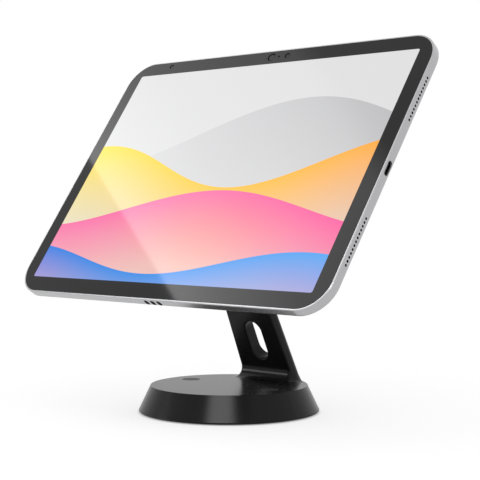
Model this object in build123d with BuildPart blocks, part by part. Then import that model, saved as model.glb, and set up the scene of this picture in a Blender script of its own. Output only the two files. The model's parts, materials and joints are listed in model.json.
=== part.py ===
"""Tablet security kiosk stand: a tablet on a tilting and turning head, a leaning neck and a round foot.

Millimetres, +Z up, origin at the centre of the foot on the counter. The screen faces -Y and leans back.
Every piece that would come apart on a bench is a solid of its own.
"""

from build123d import *
import math
import os

os.makedirs("parts", exist_ok=True)

# Round foot
foot_proud = 0.6  # the rubber pad lifts the casting off the counter by this much
base_height = 15.3
base_bottom_radius = 53.7
base_taper = 7.3  # the top's radius is smaller by this much
base_wall = 3.2
rim_radius = 1.4
lower_rim_radius = 0.7

# Rubber pad and steel cover under the foot
pad_margin = 3.9  # from the casting's lower edge
pad_thickness = 1.6
pad_edge = 0.4
cover_thickness = 1.6
recess_gap = 0.2
ledge_width = 2.6

# Steel ballast inside the foot
ballast_thickness = 9.2
ballast_gap = 0.8

# Screws that hold the cover
cover_screw_count = 4
cover_screw_inset = 7.3  # from the pad's edge
cover_screw_radius = 1.5
cover_screw_head_radius = 2.8
cover_screw_cone = 90.0  # degrees across the flat head
cover_screw_start = 45.0  # degrees from the line of the counter bolts
cover_screw_length = 7.0
cover_boss_radius = 3.6

# Counter bolts and the plugs over them
counter_bolt_inset = 14.1  # from the edge of the foot's top
counter_bolt_hole_radius = 3.2
counter_boss_radius = 7.5
plug_radius = 5.45
plug_thickness = 1.8
plug_skirt = 3.6
plug_wall = 1.2
plug_edge = 0.25
plug_well_depth = 6.2

# Slot for a cable lock in the rear of the foot
lock_slot_width = 7.0
lock_slot_height = 3.0
lock_slot_corner = 1.0
lock_room_depth = 6.0
lock_room_width = 16.0

# Neck plate
neck_lean = 24.6  # degrees from upright, top towards the screen
neck_length = 101.66
neck_thickness = 8.1
neck_foot_inset = 7.62  # from the edge of the foot's top to the middle of the plate
neck_foot_width = 41.4
neck_top_width = 32.6
neck_root_depth = 5.0
neck_front_edge = 1.5
neck_back_edge = 4.0
neck_foot_blend = 6.0
shoulder_drop = 13.0
shoulder_radius = 6.0

# Cable slot in the neck
cable_slot_width = 12.8
cable_slot_length = 25.7
cable_slot_rise = 28.4
cable_slot_edge = 0.7

# Tilt joint
barrel_radius = 8.0
barrel_half_length = 14.0
barrel_web_drop = 17.0
bush_radius = 5.5
bush_length = 10.0
bush_flange_radius = 7.2
bush_flange = 1.0
hinge_bolt_radius = 4.0
hinge_head_radius = 7.0
hinge_head = 2.8
hinge_socket_radius = 2.3
hinge_socket_depth = 1.8
hinge_bolt_tail = 0.8
tilt_washer_radius = 7.8
tilt_washer = 0.9
disc_spring_radius = 8.0
disc_spring_thickness = 0.7
disc_spring_rise = 0.4
hinge_nut_flats = 13.0
hinge_nut = 4.5
nut_edge = 0.6
bolt_edge = 0.5
running_gap = 0.05
side_play = 0.1
seat_gap = 0.02

# Tilt bracket
tablet_lean = 34.94  # degrees from upright, top away from the front
ear_thickness = 4.0
ear_radius = 8.5
ear_root_width = 26.0
ear_root_shift = 4.0
bracket_gap = 1.25
bracket_disc_radius = 23.0
bracket_disc = 4.0
bracket_edge = 0.6
turn_above_hinge = 23.415

# Turning joint
friction_ring = 1.0
friction_ring_inner = 6.0
friction_ring_outer = 14.5
pivot_radius = 4.0
pivot_head_radius = 7.5
pivot_head = 2.0
pivot_socket_radius = 2.5
pivot_socket_depth = 1.2
pivot_recess_radius = 9.5
pivot_recess_depth = 2.8
pivot_nut = 3.5
pivot_nut_flats = 13.0
wave_washer = 0.6
wave_washer_radius = 8.5
turn_range = 90.0
stop_pin_circle = 18.5
stop_pin_radius = 1.5
stop_pin_reach = 1.9
stop_pin_root = 3.0
stop_slot_gap = 0.25
stop_slot_depth = 2.3
stop_slot_spare = 1.0  # degrees past each end

# Mounting plate and adhesive pad
mount_plate_radius = 42.0
mount_plate = 4.0
mount_plate_edge = 0.8
adhesive_radius = 40.5
adhesive = 1.0
adhesive_hole_radius = 10.5

# Tablet slab
tablet_width = 248.6
tablet_height = 179.5
tablet_thickness = 7.0
tablet_corner = 18.6
housing_back_edge = 2.2
housing_front_edge = 0.35
housing_back_wall = 0.9
housing_side_wall = 2.4
housing_rim = 1.0
glass_proud = 0.15
glass_thickness = 0.8
glass_gap = 0.05
glass_edge = 0.15
display_side_margin = 8.8  # from a short edge of the tablet to the panel
display_end_margin = 9.0  # from a long edge
display_thickness = 1.6

# Speakers
speaker_hole_radius = 0.75
speaker_hole_count = 13
speaker_hole_pitch = 2.36
speaker_row_inset = 43.95  # from a long edge to the middle of a row
edge_feature_drop = 3.2  # below the face of the glass
speaker_width = 11.0
speaker_length = 42.0
speaker_height = 3.3
speaker_edge = 0.8
speaker_wall_gap = 0.3

# Charging socket
socket_width = 8.9
socket_height = 3.2
socket_gap = 0.1
socket_depth = 8.0
socket_shell = 0.35
socket_inset = 0.3
socket_tongue_width = 6.6
socket_tongue = 0.7
socket_tongue_inset = 1.0
socket_base = 1.2

# Logic board
board_width = 44.0
board_end_room = 28.35  # from the housing's walls
board_thickness = 1.0
board_speaker_gap = 2.6
board_tab_height = 18.0
board_socket_gap = 0.3
board_shield_width = 30.0
board_shield_height = 34.0
board_shield = 1.4
board_shield_pitch = 40.0
board_shield_count = 2
board_shield_corner = 1.0

# Battery cells
cell_thickness = 3.3
cell_speaker_gap = 9.6
cell_camera_gap = 3.75
cell_gap = 2.0
cell_corner = 2.0
cell_board_gap = 3.0

# Cameras
front_camera_inset = 5.45  # from the upper long edge
front_camera_width = 5.4
front_camera_height = 4.6
front_camera_depth = 1.8
rear_camera_side_inset = 20.3  # from the left short edge
rear_camera_inset = 18.75  # from the upper long edge
rear_camera_ring_radius = 6.3
rear_camera_hole_radius = 5.0
rear_camera_window_radius = 4.3
rear_camera_window = 0.6
rear_camera_proud = 0.9
rear_camera_window_drop = 0.15
rear_camera_width = 10.5
rear_camera_depth = 3.2
rear_camera_barrel_radius = 3.8
ring_edge = 0.25

# Accessory contacts in the lower edge
contact_count = 3
contact_pitch = 5.1
contact_width = 2.0
contact_length = 3.6
contact_sleeve = 0.3
contact_inset = 0.1

# Edge buttons
button_travel = 0.3
button_proud = 0.5
button_width = 2.6
button_gap = 0.15
button_flange = 0.8
button_flange_margin = 0.7
button_edge = 0.3
power_button_length = 12.0
power_button_inset = 32.3  # from the left short edge, as the next two
volume_button_length = 10.0
volume_up_inset = 54.3
volume_down_inset = 67.3
switch_depth = 2.0
switch_height = 4.2
switch_gap = 0.05
switch_end_gap = 1.0

# One overrun for every cut that leaves a face
overrun = 1.0

# Radii and places on the foot
base_top_radius = base_bottom_radius - base_taper
pad_radius = base_bottom_radius - pad_margin
cover_screw_circle = pad_radius - cover_screw_inset
counter_bolt_reach = base_top_radius - counter_bolt_inset
counter_bolts = [(-counter_bolt_reach, 0), (counter_bolt_reach, 0)]
neck_foot_y = base_top_radius - neck_foot_inset

# Levels of the foot, counted up from the counter
casting_bottom = foot_proud
base_top = foot_proud + base_height
cover_bottom = pad_thickness
cover_top = pad_thickness + cover_thickness
cavity_top = base_top - base_wall
base_slope = base_taper / base_height
recess_radius = pad_radius + recess_gap
ceiling_radius = base_top_radius + base_slope * base_wall - base_wall


def wall_radius(level):
    """Outer radius of the cone at a height above the counter."""
    return base_top_radius + base_slope * (base_top - level)


# Levels along the hinge bolt, counted out from the middle of the barrel
flange_face = barrel_half_length + bush_flange
ear_inner = flange_face + side_play + tilt_washer
ear_outer = ear_inner + ear_thickness
spring_stack = 2 * (disc_spring_thickness + disc_spring_rise) + seat_gap
nut_inner = ear_outer + spring_stack
nut_outer = nut_inner + hinge_nut

# Levels out of the screen, counted from the hinge axis
disc_back = barrel_radius + bracket_gap
disc_front = disc_back + bracket_disc
plate_back = disc_front + friction_ring + running_gap
plate_front = plate_back + mount_plate
tablet_back = plate_front + adhesive
screen_level = tablet_back + tablet_thickness

# Directions: the neck's own plane, then the leaning planes of the head and the screen
neck_rad = math.radians(neck_lean)
tablet_rad = math.radians(tablet_lean)
out_of_screen = (0, -math.cos(tablet_rad), math.sin(tablet_rad))
up_screen = (0, math.sin(tablet_rad), math.cos(tablet_rad))
neck_plane = Plane(
    origin=(0, neck_foot_y, base_top),
    x_dir=(1, 0, 0),
    z_dir=(0, -math.cos(neck_rad), -math.sin(neck_rad)),
)
hinge_point = neck_plane.from_local_coords((0, neck_length, 0))
head_plane = Plane(origin=hinge_point, x_dir=(1, 0, 0), z_dir=out_of_screen)
turn_point = head_plane.from_local_coords((0, turn_above_hinge, 0))
turn_plane = Plane(origin=turn_point, x_dir=(1, 0, 0), z_dir=out_of_screen)
screen_plane = turn_plane.offset(screen_level)
housing_back_plane = turn_plane.offset(tablet_back)


def bolt_section(reach):
    """Plane square to the hinge bolt, with x up the screen and y out of it."""
    centre = head_plane.from_local_coords((reach, 0, 0))
    return Plane(origin=centre, x_dir=up_screen, z_dir=(1, 0, 0))


def neck_section(reach):
    """Plane square to the hinge bolt, with x up the neck and y towards its back."""
    centre = neck_plane.from_local_coords((reach, 0, 0))
    up_neck = (0, -math.sin(neck_rad), math.cos(neck_rad))
    return Plane(origin=centre, x_dir=up_neck, z_dir=(-1, 0, 0))


# Rubber pad: a round mat that grips the counter, pierced for the counter bolts
with BuildPart() as foot_pad:
    with BuildSketch():
        Circle(pad_radius)
    extrude(amount=pad_thickness)
    fillet(foot_pad.faces().sort_by(Axis.Z)[0].edges(), pad_edge)
    with Locations(*counter_bolts):
        Hole(counter_bolt_hole_radius)
foot_pad.part.label = "foot_pad"
export_step(foot_pad.part, "parts/foot_pad.step")

# Steel cover: closes the foot and carries the pad
cover_cone_rad = math.radians(cover_screw_cone / 2)
cover_head_depth = (cover_screw_head_radius - cover_screw_radius) / math.tan(cover_cone_rad)
with BuildPart() as bottom_cover:
    with BuildSketch(Plane.XY.offset(cover_bottom)):
        Circle(pad_radius)
        with Locations(*counter_bolts):
            Circle(counter_bolt_hole_radius, mode=Mode.SUBTRACT)
    extrude(amount=cover_thickness)
    with Locations(Plane(origin=(0, 0, cover_bottom), z_dir=(0, 0, -1))):
        with PolarLocations(cover_screw_circle, cover_screw_count, start_angle=cover_screw_start):
            CounterSinkHole(
                cover_screw_radius + running_gap,
                cover_screw_head_radius + running_gap,
                counter_sink_angle=cover_screw_cone,
            )
bottom_cover.part.label = "bottom_cover"
export_step(bottom_cover.part, "parts/bottom_cover.step")

# Cover screws: flat heads level with the cover, shanks up into the bosses
with BuildPart() as cover_screws:
    with BuildSketch(Plane.XZ):
        with BuildLine():
            Polyline(
                (0, cover_bottom),
                (cover_screw_head_radius, cover_bottom),
                (cover_screw_radius, cover_bottom + cover_head_depth),
                (cover_screw_radius, cover_bottom + cover_screw_length),
                (0, cover_bottom + cover_screw_length),
                close=True,
            )
        make_face()
    one_screw = revolve(axis=Axis.Z, mode=Mode.PRIVATE)
    with PolarLocations(cover_screw_circle, cover_screw_count, start_angle=cover_screw_start):
        add(one_screw)
cover_screws.part.label = "cover_screws"
export_step(cover_screws.part, "parts/cover_screws.step")

# Neck blank: a rounded plate that widens to its foot, blended into a slab at the level of the foot's top
neck_axis = Axis(neck_plane.origin, neck_plane.y_dir)
neck_normal = Axis(neck_plane.origin, neck_plane.z_dir)
shoulder_rise = neck_length - shoulder_drop
neck_foot_half = neck_foot_width / 2
neck_top_half = neck_top_width / 2
neck_root_half = neck_foot_half + (neck_foot_half - neck_top_half) * neck_root_depth / shoulder_rise
with BuildPart() as neck_blank:
    with BuildSketch(neck_plane.offset(-neck_thickness / 2)) as neck_front:
        with BuildLine():
            Polyline(
                (-neck_root_half, -neck_root_depth),
                (neck_root_half, -neck_root_depth),
                (neck_top_half, shoulder_rise),
                (-neck_top_half, shoulder_rise),
                close=True,
            )
        make_face()
        fillet(neck_front.vertices().sort_by(Axis.Y)[-2:], shoulder_radius)
    extrude(amount=neck_thickness)
    neck_faces = neck_blank.faces().sort_by(neck_normal)
    fillet(neck_faces[-1].edges().sort_by(neck_axis)[1:], neck_front_edge)
    neck_faces = neck_blank.faces().sort_by(neck_normal)
    fillet(neck_faces[0].edges().sort_by(neck_axis)[1:], neck_back_edge)
    # Cable slot through the plate, with eased edges
    with BuildSketch(neck_plane.offset(-neck_thickness / 2)):
        with Locations((0, cable_slot_rise)):
            SlotOverall(cable_slot_length, cable_slot_width, rotation=90)
    extrude(amount=neck_thickness, mode=Mode.SUBTRACT)
    neck_faces = neck_blank.faces().filter_by(neck_normal).sort_by(neck_normal)
    for neck_face in (neck_faces[0], neck_faces[-1]):
        fillet(neck_face.inner_wires()[0].edges(), cable_slot_edge)
    slab_bottom = base_top - neck_root_depth - base_wall
    with BuildSketch(Plane.XY.offset(slab_bottom)):
        Circle(2 * base_bottom_radius)
    extrude(amount=base_top - slab_bottom)
    foot_joint = neck_blank.edges().filter_by_position(Axis.Z, base_top - seat_gap, base_top + seat_gap)
    fillet(foot_joint.sort_by(SortBy.LENGTH)[:-1], neck_foot_blend)
    # The blend ends at the flat of the foot's top
    with BuildSketch(Plane.XY.offset(slab_bottom)):
        Circle(base_top_radius - rim_radius)
    extrude(amount=base_top - slab_bottom + neck_length, mode=Mode.INTERSECT)

# Stand casting: hollow cone, neck and hinge barrel in one piece
with BuildPart() as stand_casting:
    with BuildSketch(Plane.XZ) as cone_outline:
        with BuildLine():
            Polyline(
                (0, casting_bottom),
                (base_bottom_radius, casting_bottom),
                (base_top_radius, base_top),
                (0, base_top),
                close=True,
            )
        make_face()
        rim_corners = cone_outline.vertices().sort_by(Axis.X)
        fillet(rim_corners[-1], lower_rim_radius)
        fillet(rim_corners[-2], rim_radius)
    revolve(axis=Axis.Z)
    add(neck_blank.part)
    # Barrel with a web that tapers down into the plate
    with BuildSketch(neck_section(-barrel_half_length)):
        with BuildLine():
            CenterArc((neck_length, 0), barrel_radius, 0, 360)
            Line(
                (neck_length - barrel_web_drop, -neck_thickness / 2),
                (neck_length - barrel_web_drop, neck_thickness / 2),
            )
        make_hull()
    extrude(amount=-2 * barrel_half_length)
    # Bore for the bushes
    with BuildSketch(neck_section(-barrel_half_length)):
        with Locations((neck_length, 0)):
            Circle(bush_radius + seat_gap)
    extrude(amount=-2 * barrel_half_length, mode=Mode.SUBTRACT)
    # Hollow underside: a recess for pad and cover, then the cavity for the ballast
    with BuildSketch(Plane.XZ):
        with BuildLine():
            Polyline(
                (0, casting_bottom),
                (recess_radius, casting_bottom),
                (recess_radius, cover_top),
                (recess_radius - ledge_width, cover_top),
                (ceiling_radius, cavity_top),
                (0, cavity_top),
                close=True,
            )
        make_face()
    revolve(axis=Axis.Z, mode=Mode.SUBTRACT)
    with BuildSketch(Plane.XY.offset(cover_top)):
        with Locations(*counter_bolts):
            Circle(counter_boss_radius)
        with PolarLocations(cover_screw_circle, cover_screw_count, start_angle=cover_screw_start):
            Circle(cover_boss_radius)
    extrude(amount=cavity_top - cover_top)
    # Counter bolt holes with wells for the bolt heads and the plugs
    with Locations(Plane.XY.offset(base_top)):
        with Locations(*counter_bolts):
            CounterBoreHole(counter_bolt_hole_radius, plug_radius + running_gap, plug_well_depth)
    # Threaded holes for the cover screws
    with BuildSketch(Plane.XY.offset(cover_top)):
        with PolarLocations(cover_screw_circle, cover_screw_count, start_angle=cover_screw_start):
            Circle(cover_screw_radius + seat_gap)
    extrude(amount=cover_screw_length - cover_thickness + overrun, mode=Mode.SUBTRACT)
    # Lock slot in the rear of the cone
    lock_level = (cover_top + cavity_top) / 2
    with BuildSketch(Plane(origin=(0, base_bottom_radius, lock_level), x_dir=(1, 0, 0), z_dir=(0, -1, 0))):
        RectangleRounded(lock_slot_width, lock_slot_height, lock_slot_corner)
    extrude(amount=base_bottom_radius - ceiling_radius + overrun, mode=Mode.SUBTRACT)
stand_casting.part.label = "stand_casting"
export_step(stand_casting.part, "parts/stand_casting.step")

# Steel ballast: a thick disc between cover and ceiling, cut round the bosses and behind the lock slot
with BuildPart() as ballast_plate:
    with BuildSketch(Plane.XY.offset(cover_top)):
        Circle(ceiling_radius - ballast_gap)
        with Locations(*counter_bolts):
            Circle(counter_boss_radius + ballast_gap, mode=Mode.SUBTRACT)
        with PolarLocations(cover_screw_circle, cover_screw_count, start_angle=cover_screw_start):
            Circle(cover_boss_radius + ballast_gap, mode=Mode.SUBTRACT)
        with Locations((0, ceiling_radius)):
            Rectangle(lock_room_width, 2 * lock_room_depth, mode=Mode.SUBTRACT)
    extrude(amount=ballast_thickness)
ballast_plate.part.label = "ballast_plate"
export_step(ballast_plate.part, "parts/ballast_plate.step")

# Plugs over the counter bolts: a flat cap, flush with the foot, on a thin skirt
for side, (plug_x, plug_y) in zip(("left", "right"), counter_bolts):
    with BuildPart() as hole_plug:
        with BuildSketch(Plane(origin=(plug_x, plug_y, base_top))):
            Circle(plug_radius)
        extrude(amount=-plug_thickness - plug_skirt)
        chamfer(hole_plug.faces().sort_by(Axis.Z)[-1].edges(), plug_edge)
        with BuildSketch(Plane(origin=(plug_x, plug_y, base_top - plug_thickness))):
            Circle(plug_radius - plug_wall)
        extrude(amount=-plug_skirt, mode=Mode.SUBTRACT)
    hole_plug.part.label = f"mount_hole_plug_{side}"
    export_step(hole_plug.part, f"parts/mount_hole_plug_{side}.step")

# Bushes pressed into both ends of the barrel
with BuildPart() as hinge_bushes:
    with BuildSketch(bolt_section(barrel_half_length)):
        Circle(bush_flange_radius)
    extrude(amount=bush_flange)
    with BuildSketch(bolt_section(barrel_half_length - bush_length)):
        Circle(bush_radius)
    extrude(amount=bush_length)
    with BuildSketch(bolt_section(barrel_half_length - bush_length)):
        Circle(hinge_bolt_radius + running_gap)
    extrude(amount=bush_length + bush_flange, mode=Mode.SUBTRACT)
    mirror(about=Plane.YZ)
hinge_bushes.part.label = "hinge_bushes"
export_step(hinge_bushes.part, "parts/hinge_bushes.step")

# Hinge bolt: round head with a hexagon socket outside the left ear, shank through both ears
with BuildPart() as hinge_bolt:
    with BuildSketch(bolt_section(-ear_outer - hinge_head)):
        Circle(hinge_head_radius)
    extrude(amount=hinge_head)
    fillet(hinge_bolt.faces().sort_by(Axis.X)[0].edges(), bracket_edge)
    with BuildSketch(bolt_section(-ear_outer)):
        Circle(hinge_bolt_radius)
    extrude(amount=ear_outer + nut_outer + hinge_bolt_tail)
    chamfer(hinge_bolt.faces().sort_by(Axis.X)[-1].edges(), bolt_edge)
    with BuildSketch(bolt_section(-ear_outer - hinge_head)):
        RegularPolygon(hinge_socket_radius, 6)
    extrude(amount=hinge_socket_depth, mode=Mode.SUBTRACT)
hinge_bolt.part.label = "hinge_bolt"
export_step(hinge_bolt.part, "parts/hinge_bolt.step")

# Friction washers between the bush flanges and the ears
with BuildPart() as tilt_washers:
    with BuildSketch(bolt_section(ear_inner - tilt_washer)):
        Circle(tilt_washer_radius)
        Circle(hinge_bolt_radius + running_gap, mode=Mode.SUBTRACT)
    extrude(amount=tilt_washer)
    mirror(about=Plane.YZ)
tilt_washers.part.label = "tilt_washers"
export_step(tilt_washers.part, "parts/tilt_washers.step")

# Disc springs under the nut: two cones, rim to rim
hinge_line = Axis(hinge_point, (1, 0, 0))
spring_bore = hinge_bolt_radius + running_gap
with BuildPart() as disc_springs:
    for bore_end, rise in (
        (ear_outer, disc_spring_rise),
        (nut_inner - disc_spring_thickness, -disc_spring_rise),
    ):
        with BuildSketch(head_plane):
            with BuildLine():
                Polyline(
                    (bore_end, spring_bore),
                    (bore_end + disc_spring_thickness, spring_bore),
                    (bore_end + disc_spring_thickness + rise, disc_spring_radius),
                    (bore_end + rise, disc_spring_radius),
                    close=True,
                )
            make_face()
        revolve(axis=hinge_line)
disc_springs.part.label = "disc_springs"
export_step(disc_springs.part, "parts/disc_springs.step")

# Lock nut of the hinge bolt
with BuildPart() as hinge_nut_piece:
    with BuildSketch(bolt_section(nut_inner)):
        RegularPolygon(hinge_nut_flats / 2, 6, major_radius=False)
        Circle(hinge_bolt_radius + seat_gap, mode=Mode.SUBTRACT)
    extrude(amount=hinge_nut)
    chamfer(hinge_nut_piece.faces().sort_by(Axis.X)[-1].outer_wire().edges(), nut_edge)
hinge_nut_piece.part.label = "hinge_nut"
export_step(hinge_nut_piece.part, "parts/hinge_nut.step")

# Tilt bracket: a round plate with two ears that reach back to the hinge bolt
with BuildPart() as tilt_bracket:
    with BuildSketch(head_plane.offset(disc_back)):
        with Locations((0, turn_above_hinge)):
            Circle(bracket_disc_radius)
        with Locations((0, ear_root_shift)):
            Rectangle(2 * ear_outer, ear_root_width)
    extrude(amount=bracket_disc)
    fillet(tilt_bracket.faces().sort_by(Axis(hinge_point, out_of_screen))[-1].edges(), bracket_edge)
    with BuildSketch(bolt_section(ear_inner)):
        ear_low = ear_root_shift - ear_root_width / 2
        ear_high = ear_root_shift + ear_root_width / 2
        with BuildLine():
            CenterArc((0, 0), ear_radius, 0, 360)
            Line((ear_low, disc_back + bracket_disc / 2), (ear_high, disc_back + bracket_disc / 2))
        make_hull()
    extrude(amount=ear_thickness)
    mirror(about=Plane.YZ)
    with BuildSketch(bolt_section(-ear_outer - overrun)):
        Circle(hinge_bolt_radius + seat_gap)
    extrude(amount=2 * (ear_outer + overrun), mode=Mode.SUBTRACT)
    with BuildSketch(turn_plane.offset(disc_back - overrun)):
        Circle(pivot_radius + seat_gap)
    extrude(amount=bracket_disc + 2 * overrun, mode=Mode.SUBTRACT)
    with BuildSketch(turn_plane.offset(disc_front)):
        with Locations((0, stop_pin_circle)):
            Circle(stop_pin_radius + seat_gap)
    extrude(amount=-stop_pin_root, mode=Mode.SUBTRACT)
tilt_bracket.part.label = "tilt_bracket"
export_step(tilt_bracket.part, "parts/tilt_bracket.step")

# Friction ring between the bracket and the mounting plate
with BuildPart() as turn_friction_ring:
    with BuildSketch(turn_plane.offset(disc_front)):
        Circle(friction_ring_outer)
        Circle(friction_ring_inner, mode=Mode.SUBTRACT)
    extrude(amount=friction_ring)
turn_friction_ring.part.label = "turn_friction_ring"
export_step(turn_friction_ring.part, "parts/turn_friction_ring.step")

# Stop pin: stands out of the bracket into the arc slot of the mounting plate
with BuildPart() as stop_pin:
    with BuildSketch(turn_plane.offset(disc_front - stop_pin_root)):
        with Locations((0, stop_pin_circle)):
            Circle(stop_pin_radius)
    extrude(amount=stop_pin_root + plate_back - disc_front + stop_pin_reach)
    chamfer(stop_pin.faces().sort_by(Axis(turn_point, out_of_screen))[-1].edges(), plug_edge)
stop_pin.part.label = "stop_pin"
export_step(stop_pin.part, "parts/stop_pin.step")

# Pivot screw: low head in the plate's recess, plain shank through plate and bracket
recess_floor = plate_front - pivot_recess_depth
washer_back = recess_floor + running_gap
pivot_head_back = washer_back + wave_washer
pivot_tail = disc_back - pivot_nut - hinge_bolt_tail
with BuildPart() as pivot_screw:
    with BuildSketch(turn_plane.offset(pivot_tail)):
        Circle(pivot_radius)
    extrude(amount=pivot_head_back - pivot_tail)
    chamfer(pivot_screw.faces().sort_by(Axis(turn_point, out_of_screen))[0].edges(), bolt_edge)
    with BuildSketch(turn_plane.offset(pivot_head_back)):
        Circle(pivot_head_radius)
    extrude(amount=pivot_head)
    with BuildSketch(turn_plane.offset(pivot_head_back + pivot_head)):
        RegularPolygon(pivot_socket_radius, 6)
    extrude(amount=-pivot_socket_depth, mode=Mode.SUBTRACT)
pivot_screw.part.label = "pivot_screw"
export_step(pivot_screw.part, "parts/pivot_screw.step")

# Wave washer under the pivot screw's head, drawn flat as it is when tightened
with BuildPart() as wave_washer_piece:
    with BuildSketch(turn_plane.offset(washer_back)):
        Circle(wave_washer_radius)
        Circle(pivot_radius + running_gap, mode=Mode.SUBTRACT)
    extrude(amount=wave_washer)
wave_washer_piece.part.label = "wave_washer"
export_step(wave_washer_piece.part, "parts/wave_washer.step")

# Nut of the pivot screw, behind the bracket
with BuildPart() as pivot_nut_piece:
    with BuildSketch(turn_plane.offset(disc_back - pivot_nut)):
        RegularPolygon(pivot_nut_flats / 2, 6, major_radius=False)
        Circle(pivot_radius + seat_gap, mode=Mode.SUBTRACT)
    extrude(amount=pivot_nut)
    nut_ends = pivot_nut_piece.faces().sort_by(Axis(turn_point, out_of_screen))
    chamfer(nut_ends[0].outer_wire().edges(), nut_edge)
pivot_nut_piece.part.label = "pivot_nut"
export_step(pivot_nut_piece.part, "parts/pivot_nut.step")

# Mounting plate: turns on the pivot screw, with an arc slot that stops it at landscape and portrait
with BuildPart() as mount_plate_piece:
    with BuildSketch(turn_plane.offset(plate_back)):
        Circle(mount_plate_radius)
    extrude(amount=mount_plate)
    chamfer(mount_plate_piece.faces().filter_by(GeomType.PLANE).edges(), mount_plate_edge)
    with BuildSketch(turn_plane.offset(plate_back - overrun)):
        Circle(pivot_radius + running_gap)
    extrude(amount=mount_plate + 2 * overrun, mode=Mode.SUBTRACT)
    with BuildSketch(turn_plane.offset(plate_front)):
        Circle(pivot_recess_radius)
    extrude(amount=-pivot_recess_depth, mode=Mode.SUBTRACT)
    with BuildSketch(turn_plane.offset(plate_back)):
        with BuildLine():
            stop_line = CenterArc((0, 0), stop_pin_circle, -stop_slot_spare, 2 * (turn_range + stop_slot_spare))
        SlotArc(stop_line, 2 * (stop_pin_radius + stop_slot_gap))
    extrude(amount=stop_slot_depth, mode=Mode.SUBTRACT)
mount_plate_piece.part.label = "mount_plate"
export_step(mount_plate_piece.part, "parts/mount_plate.step")

# Adhesive pad between the plate and the tablet's back
with BuildPart() as adhesive_pad:
    with BuildSketch(turn_plane.offset(plate_front)):
        Circle(adhesive_radius)
        Circle(adhesive_hole_radius, mode=Mode.SUBTRACT)
    extrude(amount=adhesive)
adhesive_pad.part.label = "adhesive_pad"
export_step(adhesive_pad.part, "parts/adhesive_pad.step")

# Places on the tablet: x to the right, y up the screen, z out of it
half_width = tablet_width / 2
half_height = tablet_height / 2
inner_half_width = half_width - housing_side_wall
inner_half_height = half_height - housing_side_wall
down_screen = (0, -up_screen[1], -up_screen[2])
speaker_rise = half_height - speaker_row_inset
speaker_inner_x = inner_half_width - speaker_wall_gap - speaker_width
rear_camera_x = rear_camera_side_inset - half_width
rear_camera_rise = half_height - rear_camera_inset
floor_plane = screen_plane.offset(housing_back_wall - tablet_thickness)
glass_back_plane = screen_plane.offset(-glass_thickness)


def side_plane(side, rise):
    """Plane on a short edge at edge_feature_drop, with x up the screen and z outwards."""
    centre = screen_plane.from_local_coords((side * half_width, rise, -edge_feature_drop))
    return Plane(origin=centre, x_dir=up_screen, z_dir=(side, 0, 0))


def long_edge_plane(side, along):
    """Plane on the upper (1) or lower (-1) long edge at edge_feature_drop, with z outwards."""
    centre = screen_plane.from_local_coords((along, side * half_height, -edge_feature_drop))
    outward = up_screen if side > 0 else down_screen
    return Plane(origin=centre, x_dir=(1, 0, 0), z_dir=outward)


contact_places = [((i - (contact_count - 1) / 2) * contact_pitch, 0) for i in range(contact_count)]
buttons = {
    "power_button": (power_button_inset - half_width, power_button_length),
    "volume_up_button": (volume_up_inset - half_width, volume_button_length),
    "volume_down_button": (volume_down_inset - half_width, volume_button_length),
}

# Rear housing: an aluminium tray with a seat for the glass and openings in its edges
with BuildPart() as rear_housing:
    with BuildSketch(housing_back_plane):
        RectangleRounded(tablet_width, tablet_height, tablet_corner)
    extrude(amount=tablet_thickness - glass_proud)
    housing_ends = rear_housing.faces().sort_by(Axis(turn_point, out_of_screen))
    fillet(housing_ends[0].edges(), housing_back_edge)
    housing_ends = rear_housing.faces().sort_by(Axis(turn_point, out_of_screen))
    chamfer(housing_ends[-1].edges(), housing_front_edge)
    with BuildSketch(glass_back_plane):
        RectangleRounded(
            tablet_width - 2 * housing_rim,
            tablet_height - 2 * housing_rim,
            tablet_corner - housing_rim,
        )
    extrude(amount=glass_thickness + overrun, mode=Mode.SUBTRACT)
    with BuildSketch(floor_plane):
        RectangleRounded(
            2 * inner_half_width, 2 * inner_half_height, tablet_corner - housing_side_wall
        )
    extrude(amount=tablet_thickness, mode=Mode.SUBTRACT)
    for side in (-1, 1):
        for row in (-1, 1):
            with BuildSketch(side_plane(side, row * speaker_rise)):
                with GridLocations(speaker_hole_pitch, speaker_hole_pitch, speaker_hole_count, 1):
                    Circle(speaker_hole_radius)
            extrude(amount=-housing_side_wall - overrun, mode=Mode.SUBTRACT)
    with BuildSketch(side_plane(1, 0)):
        SlotOverall(socket_width + 2 * socket_gap, socket_height + 2 * socket_gap)
    extrude(amount=-housing_side_wall - overrun, mode=Mode.SUBTRACT)
    with BuildSketch(long_edge_plane(-1, 0)):
        with Locations(*contact_places):
            SlotOverall(
                contact_length + 2 * (contact_sleeve + seat_gap),
                contact_width + 2 * (contact_sleeve + seat_gap),
                rotation=90,
            )
    extrude(amount=-housing_side_wall - overrun, mode=Mode.SUBTRACT)
    for along, length in buttons.values():
        with BuildSketch(long_edge_plane(1, along)):
            SlotOverall(length + 2 * button_gap, button_width + 2 * button_gap)
        extrude(amount=-housing_side_wall - overrun, mode=Mode.SUBTRACT)
    with BuildSketch(housing_back_plane):
        with Locations((rear_camera_x, rear_camera_rise)):
            Circle(rear_camera_hole_radius)
    extrude(amount=housing_back_wall, mode=Mode.SUBTRACT)
rear_housing.part.label = "rear_housing"
export_step(rear_housing.part, "parts/rear_housing.step")

# Cover glass: one sheet over the whole front, with an eased edge
with BuildPart() as cover_glass:
    with BuildSketch(glass_back_plane):
        RectangleRounded(
            tablet_width - 2 * (housing_rim + glass_gap),
            tablet_height - 2 * (housing_rim + glass_gap),
            tablet_corner - housing_rim - glass_gap,
        )
    extrude(amount=glass_thickness)
    glass_ends = cover_glass.faces().sort_by(Axis(turn_point, out_of_screen))
    chamfer(glass_ends[-1].edges(), glass_edge)
cover_glass.part.label = "cover_glass"
export_step(cover_glass.part, "parts/cover_glass.step")

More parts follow.
